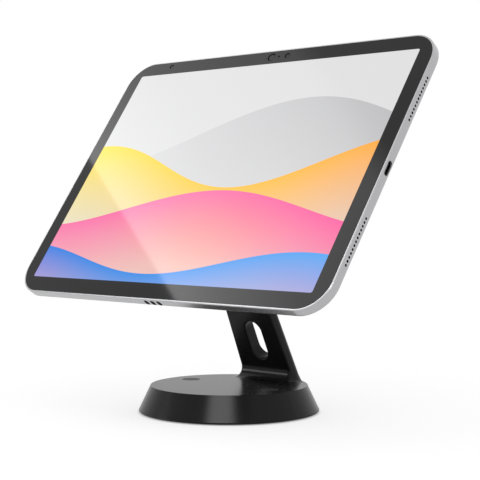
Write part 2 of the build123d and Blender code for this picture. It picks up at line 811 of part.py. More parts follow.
# Display panel, bonded to the back of the glass
with BuildPart() as display_panel:
    with BuildSketch(glass_back_plane):
        Rectangle(tablet_width - 2 * display_side_margin, tablet_height - 2 * display_end_margin)
    extrude(amount=-display_thickness)
display_panel.part.label = "display_panel"
export_step(display_panel.part, "parts/display_panel.step")

# Speaker modules behind the rows of holes, on the floor of the housing
speaker_x = speaker_inner_x + speaker_width / 2
for name, side, row in (
    ("speaker_upper_left", -1, 1),
    ("speaker_upper_right", 1, 1),
    ("speaker_lower_left", -1, -1),
    ("speaker_lower_right", 1, -1),
):
    with BuildPart() as speaker:
        with BuildSketch(floor_plane):
            with Locations((side * speaker_x, row * speaker_rise)):
                RectangleRounded(speaker_width, speaker_length, speaker_edge)
        extrude(amount=speaker_height)
    speaker.part.label = name
    export_step(speaker.part, f"parts/{name}.step")

# Charging socket: a stadium shell, open outwards, with a tongue on its base
with BuildPart() as charging_socket:
    socket_mouth = side_plane(1, 0).offset(-socket_inset)
    with BuildSketch(socket_mouth):
        SlotOverall(socket_width, socket_height)
    extrude(amount=-socket_depth)
    with BuildSketch(socket_mouth):
        SlotOverall(socket_width - 2 * socket_shell, socket_height - 2 * socket_shell)
    extrude(amount=socket_base - socket_depth, mode=Mode.SUBTRACT)
    with BuildSketch(socket_mouth.offset(-socket_depth)):
        Rectangle(socket_tongue_width, socket_tongue)
    extrude(amount=socket_depth - socket_tongue_inset)
charging_socket.part.label = "charging_socket"
export_step(charging_socket.part, "parts/charging_socket.step")

# Logic board, with a tab that reaches the charging socket, and its shield cans
board_right = speaker_inner_x - board_speaker_gap
board_left = board_right - board_width
board_height = 2 * (inner_half_height - board_end_room)
tab_right = half_width - socket_inset - socket_depth - board_socket_gap
with BuildPart() as logic_board:
    with BuildSketch(floor_plane):
        with Locations((board_right - board_width / 2, 0)):
            Rectangle(board_width, board_height)
        with Locations(((board_right + tab_right) / 2, 0)):
            Rectangle(tab_right - board_right, board_tab_height)
    extrude(amount=board_thickness)
logic_board.part.label = "logic_board"
export_step(logic_board.part, "parts/logic_board.step")

with BuildPart() as board_shields:
    with BuildSketch(floor_plane.offset(board_thickness)):
        with Locations((board_right - board_width / 2, 0)):
            with GridLocations(board_shield_pitch, board_shield_pitch, 1, board_shield_count):
                RectangleRounded(board_shield_width, board_shield_height, board_shield_corner)
    extrude(amount=board_shield)
board_shields.part.label = "board_shields"
export_step(board_shields.part, "parts/board_shields.step")

# Battery cells side by side on the floor of the housing
cells_right = board_left - cell_board_gap
cells_left = cell_speaker_gap - speaker_inner_x
cell_width = (cells_right - cells_left - cell_gap) / 2
cell_height = 2 * (rear_camera_rise - rear_camera_width / 2 - cell_camera_gap)
for name, cell_x in (
    ("battery_cell_right", cells_right - cell_width / 2),
    ("battery_cell_left", cells_left + cell_width / 2),
):
    with BuildPart() as battery_cell:
        with BuildSketch(floor_plane):
            with Locations((cell_x, 0)):
                RectangleRounded(cell_width, cell_height, cell_corner)
        extrude(amount=cell_thickness)
    battery_cell.part.label = name
    export_step(battery_cell.part, f"parts/{name}.step")

# Front camera, against the back of the glass
with BuildPart() as front_camera:
    with BuildSketch(glass_back_plane):
        with Locations((0, half_height - front_camera_inset)):
            Rectangle(front_camera_width, front_camera_height)
    extrude(amount=-front_camera_depth)
front_camera.part.label = "front_camera"
export_step(front_camera.part, "parts/front_camera.step")

# Rear camera: module on the floor, a proud ring through the back and a window in the ring
camera_plane = Plane(
    origin=housing_back_plane.from_local_coords((rear_camera_x, rear_camera_rise, 0)),
    x_dir=(1, 0, 0),
    z_dir=out_of_screen,
)
with BuildPart() as rear_camera_ring:
    with BuildSketch(camera_plane.offset(-rear_camera_proud)):
        Circle(rear_camera_ring_radius)
    extrude(amount=rear_camera_proud)
    ring_ends = rear_camera_ring.faces().sort_by(Axis(turn_point, out_of_screen))
    fillet(ring_ends[0].edges(), ring_edge)
    with BuildSketch(camera_plane):
        Circle(rear_camera_hole_radius - seat_gap)
    extrude(amount=housing_back_wall)
    with BuildSketch(camera_plane.offset(-rear_camera_proud)):
        Circle(rear_camera_window_radius + seat_gap)
    extrude(amount=rear_camera_proud + housing_back_wall, mode=Mode.SUBTRACT)
rear_camera_ring.part.label = "rear_camera_ring"
export_step(rear_camera_ring.part, "parts/rear_camera_ring.step")

window_back = rear_camera_window_drop - rear_camera_proud
with BuildPart() as rear_camera_glass:
    with BuildSketch(camera_plane.offset(window_back)):
        Circle(rear_camera_window_radius)
    extrude(amount=rear_camera_window)
rear_camera_glass.part.label = "rear_camera_window"
export_step(rear_camera_glass.part, "parts/rear_camera_window.step")

barrel_start = window_back + rear_camera_window + running_gap
with BuildPart() as rear_camera:
    with BuildSketch(camera_plane.offset(housing_back_wall)):
        Rectangle(rear_camera_width, rear_camera_width)
    extrude(amount=rear_camera_depth)
    with BuildSketch(camera_plane.offset(barrel_start)):
        Circle(rear_camera_barrel_radius)
    extrude(amount=housing_back_wall - barrel_start)
rear_camera.part.label = "rear_camera"
export_step(rear_camera.part, "parts/rear_camera.step")

# Accessory contacts: three pins in insulating sleeves through the lower edge
contact_face = long_edge_plane(-1, 0).offset(-contact_inset)
with BuildPart() as accessory_contacts:
    with BuildSketch(contact_face):
        with Locations(*contact_places):
            SlotOverall(contact_length, contact_width, rotation=90)
    extrude(amount=-housing_side_wall)
accessory_contacts.part.label = "accessory_contacts"
export_step(accessory_contacts.part, "parts/accessory_contacts.step")

with BuildPart() as contact_sleeves:
    with BuildSketch(contact_face):
        with Locations(*contact_places):
            SlotOverall(
                contact_length + 2 * contact_sleeve, contact_width + 2 * contact_sleeve, rotation=90
            )
            SlotOverall(
                contact_length + 2 * seat_gap,
                contact_width + 2 * seat_gap,
                rotation=90,
                mode=Mode.SUBTRACT,
            )
    extrude(amount=-housing_side_wall)
contact_sleeves.part.label = "contact_sleeves"
export_step(contact_sleeves.part, "parts/contact_sleeves.step")

# Buttons in the upper edge: a stadium cap through the wall, held in by a flange inside it
for name, (along, length) in buttons.items():
    with BuildPart() as edge_button:
        with BuildSketch(long_edge_plane(1, along).offset(button_proud)):
            SlotOverall(length, button_width)
        extrude(amount=-button_proud - housing_side_wall - seat_gap)
        fillet(edge_button.faces().sort_by(Axis(turn_point, up_screen))[-1].edges(), button_edge)
        with BuildSketch(long_edge_plane(1, along).offset(-housing_side_wall - seat_gap)):
            SlotOverall(length + 2 * button_flange_margin, button_width + 2 * button_flange_margin)
        extrude(amount=-button_flange)
    edge_button.part.label = name
    export_step(edge_button.part, f"parts/{name}.step")

# Switches under the buttons, standing on the floor of the housing
flange_depth = housing_side_wall + seat_gap + button_flange
switch_centre = half_height - flange_depth - button_travel - switch_gap - switch_depth / 2
with BuildPart() as button_switches:
    with BuildSketch(floor_plane):
        for along, length in buttons.values():
            with Locations((along, switch_centre)):
                Rectangle(length - 2 * switch_end_gap, switch_depth)
    extrude(amount=switch_height)
button_switches.part.label = "button_switches"
export_step(button_switches.part, "parts/button_switches.step")

print("hinge axis", tuple(hinge_point))
print("turning axis through", tuple(turn_point), "along", out_of_screen)
print("up the screen", up_screen)
print("display centre", tuple(screen_plane.origin))
print("press direction of the buttons", down_screen)
print("socket mouth", tuple(side_plane(1, 0).origin))
slot_centre = neck_plane.from_local_coords((0, cable_slot_rise, 0))
print("cable slot centre", tuple(slot_centre))
print("lock slot", 0, wall_radius(lock_level), lock_level)
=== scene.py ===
# %% [markdown]
# A tablet on a kiosk stand: the looks
#
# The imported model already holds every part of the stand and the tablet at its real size. This lesson
# adds what a camera sees: a pale studio, soft lamps, and a finish for each piece. Lengths are in metres.

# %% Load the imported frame
import json
import math

import bmesh
import bpy
from mathutils import Matrix, Vector


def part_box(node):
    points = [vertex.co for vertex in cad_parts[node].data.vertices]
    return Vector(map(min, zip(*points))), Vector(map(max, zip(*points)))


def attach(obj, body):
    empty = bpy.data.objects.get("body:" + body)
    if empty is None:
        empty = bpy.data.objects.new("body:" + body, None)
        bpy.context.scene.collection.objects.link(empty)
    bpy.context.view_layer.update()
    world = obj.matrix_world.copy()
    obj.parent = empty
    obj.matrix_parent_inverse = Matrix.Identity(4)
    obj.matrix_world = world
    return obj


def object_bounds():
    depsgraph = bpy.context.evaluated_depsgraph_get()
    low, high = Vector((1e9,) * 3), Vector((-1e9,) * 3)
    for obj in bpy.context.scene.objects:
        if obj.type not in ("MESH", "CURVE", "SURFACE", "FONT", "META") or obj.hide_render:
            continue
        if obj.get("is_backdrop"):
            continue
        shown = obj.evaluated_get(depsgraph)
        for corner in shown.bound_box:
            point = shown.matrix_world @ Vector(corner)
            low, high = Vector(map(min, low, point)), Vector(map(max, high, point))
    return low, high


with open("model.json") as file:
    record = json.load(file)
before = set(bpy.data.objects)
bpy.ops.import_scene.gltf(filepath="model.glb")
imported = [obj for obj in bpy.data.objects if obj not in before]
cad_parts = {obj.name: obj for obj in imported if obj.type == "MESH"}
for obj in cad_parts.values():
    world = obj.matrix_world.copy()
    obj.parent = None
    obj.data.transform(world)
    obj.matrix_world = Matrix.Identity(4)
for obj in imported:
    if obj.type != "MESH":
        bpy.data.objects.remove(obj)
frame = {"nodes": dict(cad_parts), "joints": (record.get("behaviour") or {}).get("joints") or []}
cad_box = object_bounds()
scene = bpy.context.scene
scene.view_settings.view_transform = "Standard"
mm = 0.001
print("nodes loaded:", len(frame["nodes"]))

# %% [markdown]
# Where the screen is
#
# Marks on the glass are easiest to place in the screen's own directions: across, up the screen and out
# of it. The turning joint's axis stands square on the glass, so it gives the lean without measuring.
# The glass has bevelled edges, so the place of its front face is read from its vertices.

# %% Directions of the screen
turn_joint = next(joint for joint in frame["joints"] if joint["name"] == "turn")
out_of_screen = Vector(turn_joint["axis"]).normalized()
up_screen = Vector((0, out_of_screen.z, -out_of_screen.y))
glass_low, glass_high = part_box("cover_glass")
glass_middle = (glass_low + glass_high) / 2
screen_tilt = math.atan2(up_screen.z, up_screen.y)  # from lying flat to the screen's lean


def reach(name, start, direction):
    """How far a CAD node goes from a point in one direction."""
    node = frame["nodes"][name]
    return max((node.matrix_world @ vert.co - start).dot(direction) for vert in node.data.vertices)


glass_face = glass_middle + out_of_screen * reach("cover_glass", glass_middle, out_of_screen)
print("screen leans", round(90 - math.degrees(screen_tilt), 2), "degrees from upright")

# %% [markdown]
# The camera
#
# The photograph was taken with a long lens from the right, from a little below the height of the
# screen's middle. The camera's place was worked out from the four corners of the display.

# %% Camera
camera_azimuth = math.radians(43.905)
camera_pitch = math.radians(1.501)
camera_place = Vector((0.5423, -0.5541, 0.1215))
lens_mm = 98.62
sensor_mm = 36.0
nearest_seen = 10 * mm

camera_data = bpy.data.cameras.new("studio_camera")
camera_data.lens = lens_mm
camera_data.sensor_width = sensor_mm
camera_data.clip_start = nearest_seen
camera = bpy.data.objects.new("studio_camera", camera_data)
camera.location = camera_place
camera.rotation_euler = (math.pi / 2 - camera_pitch, 0, camera_azimuth)
scene.collection.objects.link(camera)
scene.camera = camera
print("camera to screen:", round((camera_place - glass_middle).length, 3), "m")

# %% [markdown]
# Helpers for nodes
#
# Lamps, floor and finishes are all made of shader nodes. Three short helpers add a node, do one sum and
# stretch a value from one range to another, so that the lines that use them stay readable.


# %% Node helpers
def add_node(tree, kind, **settings):
    """A new node, with its attributes set by name."""
    node = tree.nodes.new(kind)
    for name, value in settings.items():
        setattr(node, name, value)
    return node


def maths(tree, operation, first, second=0.0):
    """One Math node, with numbers or sockets as its inputs."""
    node = add_node(tree, "ShaderNodeMath", operation=operation)
    for socket, value in zip(node.inputs, (first, second)):
        if isinstance(value, bpy.types.NodeSocket):
            tree.links.new(value, socket)
        else:
            socket.default_value = value
    return node.outputs["Value"]


def spread(tree, value, low, high, start=0.3, end=0.7):
    """Stretches a value from start..end to low..high."""
    ramp = add_node(tree, "ShaderNodeMapRange")
    tree.links.new(value, ramp.inputs["Value"])
    ramp.inputs["From Min"].default_value = start
    ramp.inputs["From Max"].default_value = end
    ramp.inputs["To Min"].default_value = low
    ramp.inputs["To Max"].default_value = high
    return ramp.outputs["Result"]


# %% [markdown]
# Floor and background
#
# Product pictures are shot on white that runs up behind the object with no corner. Here the world is
# white to the camera, to gloss and to glass, and the floor is nearly as bright, so that no horizon
# shows. The floor is still part matt surface, so it keeps the soft shadow that seats the foot. A surface
# that glows can't be shaded, so its glow is turned down under the foot, where the rim would mirror it;
# this paints the foot's contact shadow into the floor's glow.


# %% Seen by camera, gloss or glass
def seen_rays(tree):
    """1 where the camera, a glossy or a transmitted ray looks, and 0 for light that bounces."""
    path = add_node(tree, "ShaderNodeLightPath").outputs
    camera_or_gloss = maths(tree, "MAXIMUM", path["Is Camera Ray"], path["Is Glossy Ray"])
    return maths(tree, "MAXIMUM", camera_or_gloss, path["Is Transmission Ray"])


# %% World
world_light = 0.62
world_white = 1.0

world = bpy.data.worlds.new("white_studio")
world.use_nodes = True
scene.world = world
world_tree = world.node_tree
background = world_tree.nodes["Background"]
background.inputs["Color"].default_value = (1, 1, 1, 1)
world_level = spread(world_tree, seen_rays(world_tree), world_light, world_white, 0.0, 1.0)
world_tree.links.new(world_level, background.inputs["Strength"])
print("world shows at", world_white, "and lights at", world_light)

# %% Floor
floor_half = 8.0

floor_mesh = bpy.data.meshes.new("floor")
floor_build = bmesh.new()
bmesh.ops.create_grid(floor_build, x_segments=1, y_segments=1, size=floor_half)
floor_build.to_mesh(floor_mesh)
floor_build.free()
floor = bpy.data.objects.new("floor", floor_mesh)
scene.collection.objects.link(floor)
floor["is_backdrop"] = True
print("floor", 2 * floor_half, "m across")

# %% Where the floor's glow is turned down, painting the foot's shadow
foot_low, foot_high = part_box("stand_casting")
foot_radius = (foot_high.x - foot_low.x) / 2
foot_centre = Vector(((foot_low.x + foot_high.x) / 2, foot_low.y + foot_radius, 0))
shade_inside = foot_radius - 5 * mm
shade_outside = foot_radius + 1.5 * mm
print("glow fades from", round(shade_outside / mm, 1), "to", round(shade_inside / mm, 1), "mm")

# %% Floor finish
# Painted contact shadow: the floor's glow drops to this under the foot.
painted_foot_shadow_glow = 0.05
floor_glow = 0.618
floor_matt = 0.65
floor_bounce = 0.80

floor_finish = bpy.data.materials.new("white_floor")
floor_finish.use_nodes = True
floor_tree = floor_finish.node_tree
floor_tree.nodes.remove(floor_tree.nodes["Principled BSDF"])
matt = add_node(floor_tree, "ShaderNodeBsdfDiffuse")
matt.inputs["Color"].default_value = (floor_matt, floor_matt, floor_matt, 1)
glow = add_node(floor_tree, "ShaderNodeEmission")
from_foot = add_node(floor_tree, "ShaderNodeVectorMath", operation="DISTANCE")
from_foot.inputs[1].default_value = foot_centre
floor_tree.links.new(add_node(floor_tree, "ShaderNodeTexCoord").outputs["Object"], from_foot.inputs[0])
far = from_foot.outputs["Value"]
shade = spread(floor_tree, far, painted_foot_shadow_glow, floor_glow, shade_inside, shade_outside)
floor_tree.links.new(shade, glow.inputs["Strength"])
both = add_node(floor_tree, "ShaderNodeAddShader")
floor_tree.links.new(matt.outputs["BSDF"], both.inputs[0])
floor_tree.links.new(glow.outputs["Emission"], both.inputs[1])
bounce = add_node(floor_tree, "ShaderNodeBsdfDiffuse")
bounce.inputs["Color"].default_value = (floor_bounce, floor_bounce, floor_bounce, 1)
choose = add_node(floor_tree, "ShaderNodeMixShader")
floor_tree.links.new(seen_rays(floor_tree), choose.inputs["Fac"])
floor_tree.links.new(bounce.outputs["BSDF"], choose.inputs[1])
floor_tree.links.new(both.outputs["Shader"], choose.inputs[2])
floor_tree.links.new(choose.outputs["Shader"], floor_tree.nodes["Material Output"].inputs["Surface"])
floor_mesh.materials.append(floor_finish)
print("floor glows at", floor_glow, "and under the foot at", painted_foot_shadow_glow)

# %% [markdown]
# Softboxes
#
# Black gloss shows its lamps more than its own colour. The photograph's glass has a light streak with a
# crisp lower edge that fades upwards, the foot has one soft upright band, and the root of the neck has a
# highlight along its curve. So there are three lamps: the left one for the glass, the front one for the
# band and a low strip for the neck. Each is a far panel whose edges lie where those reflections point.
# A real softbox is rarely even, and the left one is brightest near its middle.

# %% Softbox light
even = ((0, 1), (1, 1))


def shares(tree, value, stops):
    """A share of strength along a value from 0 to 1, given as pairs of place and share."""
    ramp = add_node(tree, "ShaderNodeValToRGB")
    elements = ramp.color_ramp.elements
    while len(elements) < len(stops):
        elements.new(0.5)
    for element, (at, share) in zip(elements, stops):
        element.position = at
        element.color = (share, share, share, 1)
    tree.links.new(value, ramp.inputs["Fac"])
    return ramp.outputs["Color"]


def softbox_light(name, rightwards, across, bottom, top, gloss, light, fall, lean):
    """A glow that is stronger in gloss than on matt surfaces, and never darker than the world there."""
    finish = bpy.data.materials.new(name)
    finish.use_nodes = True
    tree = finish.node_tree
    tree.nodes.remove(tree.nodes["Principled BSDF"])
    place = add_node(tree, "ShaderNodeTexCoord").outputs["Object"]
    parts = add_node(tree, "ShaderNodeSeparateXYZ")
    tree.links.new(place, parts.inputs["Vector"])
    height = spread(tree, parts.outputs["Z"], 0.0, 1.0, glass_middle.z + bottom, glass_middle.z + top)
    along = add_node(tree, "ShaderNodeVectorMath", operation="DOT_PRODUCT")
    along.inputs[1].default_value = rightwards
    tree.links.new(place, along.inputs[0])
    middle = glass_middle.dot(rightwards)
    side = spread(tree, along.outputs["Value"], 0.0, 1.0, middle - across, middle + across)
    share = maths(tree, "MULTIPLY", shares(tree, height, fall), shares(tree, side, lean))
    least = maths(tree, "MAXIMUM", share, world_white / gloss)
    strength = spread(tree, seen_rays(tree), light, gloss, 0.0, 1.0)
    shine = add_node(tree, "ShaderNodeEmission")
    tree.links.new(maths(tree, "MULTIPLY", least, strength), shine.inputs["Strength"])
    tree.links.new(shine.outputs["Emission"], tree.nodes["Material Output"].inputs["Surface"])
    return finish


# %% Softbox panels
softbox_distance = 5.0


def softbox(name, azimuth, low, high, half_width, gloss, light, fall=even, lean=even):
    """An upright glowing panel, placed by angles seen from the object.

    In gloss it shows at the strength gloss and on matt surfaces it casts light. Fall gives the share of
    the strength from the lower edge, 0, to the upper one, 1, and lean gives it from left to right.
    """
    turn = math.radians(azimuth)
    across = softbox_distance * math.tan(math.radians(half_width))
    bottom = softbox_distance * math.tan(math.radians(low))
    top = softbox_distance * math.tan(math.radians(high))
    build = bmesh.new()
    bmesh.ops.create_grid(build, x_segments=1, y_segments=1, size=1)
    bmesh.ops.scale(build, verts=build.verts, vec=(across, (top - bottom) / 2, 1))
    bmesh.ops.rotate(build, verts=build.verts, matrix=Matrix.Rotation(math.pi / 2, 3, "X"))
    bmesh.ops.translate(build, verts=build.verts, vec=(0, -softbox_distance, (top + bottom) / 2))
    bmesh.ops.rotate(build, verts=build.verts, matrix=Matrix.Rotation(turn, 3, "Z"))
    bmesh.ops.translate(build, verts=build.verts, vec=glass_middle)
    mesh = bpy.data.meshes.new(name)
    build.to_mesh(mesh)
    build.free()
    rightwards = Vector((math.cos(turn), math.sin(turn), 0))
    mesh.materials.append(softbox_light(name, rightwards, across, bottom, top, gloss, light, fall, lean))
    panel = bpy.data.objects.new(name, mesh)
    panel.visible_camera = False
    scene.collection.objects.link(panel)
    panel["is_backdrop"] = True
    print(name, "is", round(2 * across, 2), "by", round(top - bottom, 2), "m")


# %% Three lamps
streak_gloss = 5.2
streak_fall = ((0, 1.0), (0.15, 0.75), (0.35, 0.56), (0.85, 0.42), (1, world_white / streak_gloss))
streak_lean = ((0.25, 0.64), (0.47, 1.0), (0.55, 0.86))
softbox(
    "left_softbox",
    azimuth=-65,
    low=37.6,
    high=50.3,
    half_width=28,
    gloss=streak_gloss,
    light=0.9,
    fall=streak_fall,
    lean=streak_lean,
)
softbox("front_softbox", azimuth=32, low=30, high=49, half_width=19, gloss=13.5, light=0.8)
softbox("strip_light", azimuth=-47, low=8, high=20, half_width=9, gloss=9.5, light=0.6)

# %% [markdown]
# What every finish starts from
#
# Each finish is one Principled shader fed by Object coordinates, so its grain keeps its real size and
# stays put when a piece moves. Soft noise gives small differences in tone, gloss and relief, because a
# surface that is the same all over looks like nothing that was ever made.


# %% Finish helpers
def new_finish(name, colour, metallic=0.0, roughness=0.5, specular=0.5):
    """A Principled material, with its shader and its Object coordinates."""
    finish = bpy.data.materials.new(name)
    finish.use_nodes = True
    tree = finish.node_tree
    shader = tree.nodes["Principled BSDF"]
    shader.inputs["Base Color"].default_value = (*colour, 1)
    shader.inputs["Metallic"].default_value = metallic
    shader.inputs["Roughness"].default_value = roughness
    shader.inputs["Specular IOR Level"].default_value = specular
    place = add_node(tree, "ShaderNodeTexCoord").outputs["Object"]
    return finish, tree, shader, place


def grain(tree, place, size, detail=2.0):
    """Soft noise whose lumps are about this size, from 0 to 1."""
    noise = add_node(tree, "ShaderNodeTexNoise")
    noise.inputs["Scale"].default_value = 1 / size
    noise.inputs["Detail"].default_value = detail
    tree.links.new(place, noise.inputs["Vector"])
    return noise.outputs["Fac"]


def blend_colours(tree, factor, first, second):
    """Mixes two colours, each a tuple or a socket."""
    mix = add_node(tree, "ShaderNodeMix", data_type="RGBA")
    tree.links.new(factor, mix.inputs["Factor"])
    sockets = [socket for socket in mix.inputs if socket.type == "RGBA"]
    for socket, value in zip(sockets, (first, second)):
        if isinstance(value, bpy.types.NodeSocket):
            tree.links.new(value, socket)
        else:
            socket.default_value = (*value, 1)
    return next(socket for socket in mix.outputs if socket.type == "RGBA")


def tint(tree, shader, factor, first, second):
    """Lets the shader's colour wander between two tones."""
    tree.links.new(blend_colours(tree, factor, first, second), shader.inputs["Base Color"])


def polish(tree, shader, factor, low, high):
    """Lets the shader's roughness wander between two values."""
    tree.links.new(spread(tree, factor, low, high), shader.inputs["Roughness"])


def relief(tree, shader, height, depth):
    """Bumps of a real depth on the shader's surface."""
    bump = add_node(tree, "ShaderNodeBump")
    bump.inputs["Strength"].default_value = 1.0
    bump.inputs["Distance"].default_value = depth
    tree.links.new(height, bump.inputs["Height"])
    tree.links.new(bump.outputs["Normal"], shader.inputs["Normal"])


def dress(finish, *names):
    """Gives CAD nodes their finish."""
    for name in names:
        mesh = frame["nodes"][name].data
        mesh.materials.clear()
        mesh.materials.append(finish)
    print(finish.name, "on", ", ".join(names))


# %% [markdown]
# Black satin paint
#
# The stand is a casting under black powder coat. The coat is smooth but not flat: it has a faint
# orange-peel wave a millimetre or so across, and a finer grain that softens the reflections.


# %% Black satin paint
def satin_paint():
    finish, tree, shader, place = new_finish("satin_paint", (0.012, 0.012, 0.0125), specular=0.13)
    relief(tree, shader, grain(tree, place, size=1.6 * mm, detail=1.0), depth=0.004 * mm)
    polish(tree, shader, grain(tree, place, size=0.35 * mm), low=0.21, high=0.29)
    cloud = grain(tree, place, size=9 * mm)
    tint(tree, shader, cloud, (0.0108, 0.0108, 0.0113), (0.0132, 0.0132, 0.0137))
    return finish


dress(satin_paint(), "stand_casting", "tilt_bracket", "mount_plate")

# %% [markdown]
# Rubber, plastic and foam
#
# The pad under the foot is moulded rubber and the caps over the counter bolts are matt plastic. Both
# scatter light evenly, so they look flatter than the paint beside them. The pad behind the tablet is
# foam tape, with a surface full of small cells.


# %% Moulded rubber
def moulded_rubber():
    finish, tree, shader, place = new_finish(
        "moulded_rubber", (0.012, 0.012, 0.012), roughness=0.8, specular=0.25
    )
    stipple = grain(tree, place, size=0.5 * mm, detail=4.0)
    relief(tree, shader, stipple, depth=0.03 * mm)
    polish(tree, shader, stipple, low=0.7, high=0.9)
    return finish


dress(moulded_rubber(), "foot_pad")


# %% Plastic of the caps
def cap_plastic():
    finish, tree, shader, place = new_finish("cap_plastic", (0.01, 0.01, 0.0105), specular=0.3)
    texture = grain(tree, place, size=0.25 * mm, detail=3.0)
    relief(tree, shader, texture, depth=0.01 * mm)
    polish(tree, shader, texture, low=0.45, high=0.6)
    return finish


dress(cap_plastic(), "mount_hole_plug_left", "mount_hole_plug_right")


# %% Foam tape
def foam_tape():
    finish, tree, shader, place = new_finish(
        "foam_tape", (0.02, 0.02, 0.02), roughness=0.95, specular=0.2
    )
    cell_size = 0.3 * mm
    cells = add_node(tree, "ShaderNodeTexVoronoi")
    cells.inputs["Scale"].default_value = 1 / cell_size
    tree.links.new(place, cells.inputs["Vector"])
    relief(tree, shader, cells.outputs["Distance"], depth=0.06 * mm)
    tint(tree, shader, cells.outputs["Distance"], (0.015, 0.015, 0.015), (0.035, 0.035, 0.035))
    return finish


dress(foam_tape(), "adhesive_pad")

# %% [markdown]
# Steel and bearing plastic
#
# The hinge hardware is turned or pressed steel. Zinc plate has a faint mottled tone, and machining
# leaves fine marks that vary its gloss. Bushes and friction rings are a dense plastic with a dry, waxy
# look.


# %% Steel
def plated_steel(name, light, dark, roughness):
    finish, tree, shader, place = new_finish(name, light, metallic=1.0, roughness=roughness)
    tint(tree, shader, grain(tree, place, size=2.2 * mm, detail=3.0), dark, light)
    marks = grain(tree, place, size=0.15 * mm)
    polish(tree, shader, marks, low=roughness - 0.06, high=roughness + 0.08)
    relief(tree, shader, marks, depth=0.004 * mm)
    return finish


zinc = plated_steel("zinc_plate", (0.56, 0.57, 0.59), (0.44, 0.45, 0.47), 0.34)
black_steel = plated_steel("blackened_steel", (0.09, 0.09, 0.095), (0.05, 0.05, 0.052), 0.38)
spring_steel = plated_steel("spring_steel", (0.42, 0.41, 0.40), (0.33, 0.32, 0.31), 0.30)
dress(zinc, "bottom_cover", "ballast_plate", "tilt_washers", "stop_pin")
dress(black_steel, "hinge_bolt", "hinge_nut", "pivot_screw", "pivot_nut", "cover_screws")
dress(spring_steel, "disc_springs", "wave_washer")


# %% Bearing plastic
def bearing_plastic():
    finish, tree, shader, place = new_finish(
        "bearing_plastic", (0.10, 0.10, 0.105), roughness=0.5, specular=0.35
    )
    cloud = grain(tree, place, size=1.2 * mm, detail=3.0)
    tint(tree, shader, cloud, (0.09, 0.09, 0.095), (0.12, 0.12, 0.125))
    relief(tree, shader, cloud, depth=0.006 * mm)
    return finish


dress(bearing_plastic(), "hinge_bushes", "turn_friction_ring")

# %% [markdown]
# Bead-blasted aluminium
#
# The tablet's housing is blasted with fine beads and anodised, so it is a metal with no streaks: light
# spreads evenly over it, and up close it has a very fine even sparkle. The buttons and the camera's
# ring are the same metal, a little brighter and smoother.


# %% Bead-blasted aluminium
def blasted_aluminium(name, tone, roughness):
    finish, tree, shader, place = new_finish(name, tone, metallic=1.0, roughness=roughness)
    beads = grain(tree, place, size=0.12 * mm, detail=1.0)
    relief(tree, shader, beads, depth=0.003 * mm)
    polish(tree, shader, beads, low=roughness - 0.04, high=roughness + 0.04)
    lighter = tuple(1.08 * channel for channel in tone)
    tint(tree, shader, beads, tone, lighter)
    return finish


dress(blasted_aluminium("blasted_aluminium", (0.43, 0.43, 0.44), 0.29), "rear_housing")
dress(
    blasted_aluminium("polished_aluminium", (0.48, 0.48, 0.49), 0.24),
    "rear_camera_ring",
    "power_button",
    "volume_up_button",
    "volume_down_button",
)

# %% [markdown]
# Small dark and bright parts of the tablet
#
# Sockets, contacts and modules are only glimpsed through their openings. They still get a finish of
# their own, because a metal socket among dark modules is what makes an opening look deep.


# %% Dark modules
def dark_module(name, tone, roughness, specular):
    finish, tree, shader, place = new_finish(name, tone, roughness=roughness, specular=specular)
    texture = grain(tree, place, size=0.2 * mm, detail=3.0)
    relief(tree, shader, texture, depth=0.006 * mm)
    polish(tree, shader, texture, low=roughness - 0.08, high=roughness + 0.08)
    return finish


speakers = [f"speaker_{level}_{side}" for level in ("upper", "lower") for side in ("left", "right")]
speaker_cloth = dark_module("speaker_cloth", (0.006, 0.006, 0.006), 0.85, 0.2)
module_plastic = dark_module("module_plastic", (0.01, 0.01, 0.01), 0.5, 0.3)
contact_seal = dark_module("contact_seal", (0.004, 0.004, 0.004), 0.6, 0.04)
panel_back = dark_module("panel_back", (0.03, 0.03, 0.032), 0.4, 0.3)
dress(speaker_cloth, *speakers)
dress(module_plastic, "front_camera", "rear_camera", "button_switches")
dress(contact_seal, "contact_sleeves", "accessory_contacts")
dress(panel_back, "display_panel")


# %% Circuit board
def circuit_board():
    board_green = (0.01, 0.05, 0.025)
    track_green = (0.03, 0.1, 0.05)
    track_pitch = 4 * mm
    finish, tree, shader, place = new_finish("circuit_board", board_green, roughness=0.4)
    tracks = add_node(tree, "ShaderNodeTexBrick")
    tracks.inputs["Scale"].default_value = 1 / track_pitch
    tree.links.new(place, tracks.inputs["Vector"])
    tint(tree, shader, tracks.outputs["Fac"], board_green, track_green)
    return finish


dress(circuit_board(), "logic_board")

# %% Metal inside the tablet
socket_steel = plated_steel("socket_steel", (0.16, 0.16, 0.165), (0.12, 0.12, 0.125), 0.35)
shield_can = plated_steel("shield_can", (0.5, 0.5, 0.5), (0.42, 0.42, 0.42), 0.3)
cell_foil = plated_steel("cell_foil", (0.35, 0.36, 0.38), (0.3, 0.31, 0.33), 0.25)
dress(socket_steel, "charging_socket")
dress(shield_can, "board_shields")
dress(cell_foil, "battery_cell_left", "battery_cell_right")


# %% Coated glass
def coated_glass(name, tone, sheen, patch, roughness, specular=0.5):
    """Near-black glass whose coating shifts in colour over patches of this size."""
    finish, tree, shader, place = new_finish(name, tone, roughness=roughness, specular=specular)
    tint(tree, shader, grain(tree, place, size=patch), tone, sheen)
    return finish


lens_glass = coated_glass("lens_glass", (0.004, 0.004, 0.007), (0.006, 0.005, 0.012), 3 * mm, 0.03)
dress(lens_glass, "rear_camera_window")

# %% [markdown]
# The screen
#
# One sheet of glass covers the whole front. Behind its margin is black ink, and behind the rest a lit
# display. Both are painted on the sheet itself, in coordinates that a Mapping node turns to lie along
# the screen. The picture is a made-up one: four soft waves in grey, yellow, pink and blue on a pale
# ground, which stand in for whatever a tablet would show.

